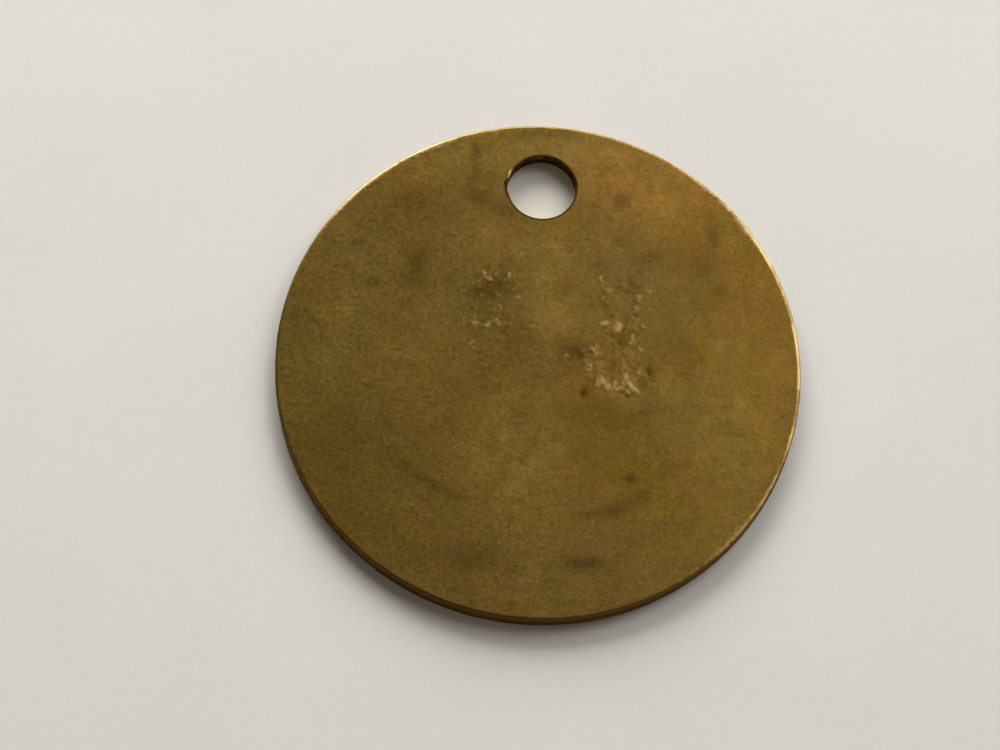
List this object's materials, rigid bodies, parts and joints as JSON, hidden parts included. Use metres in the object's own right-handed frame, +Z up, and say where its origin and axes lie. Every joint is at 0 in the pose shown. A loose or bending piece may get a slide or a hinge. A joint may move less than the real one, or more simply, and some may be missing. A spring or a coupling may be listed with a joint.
{
  "type": "brass disc tag",
  "caption": "Plain round brass disc cut from sheet, with a punched hanging hole near its rim; used as a tag, token, tool check or dealer button.",
  "frame": {"origin": "centre of the disc on its flat underside", "axes": "+Z up through the thickness, from the underside to the face; +Y from the disc's centre towards the hanging hole; +X to the right, looking down on the face with the hole at the top"},
  "size_m": [0.038, 0.038, 0.0015],
  "materials": {
    "aged_brass": "satin, dulled and stained by handling, with a brighter worn rim"
  },
  "bodies": {
    "root": {"brass_disc": "aged_brass"}
  },
  "joints": []
}
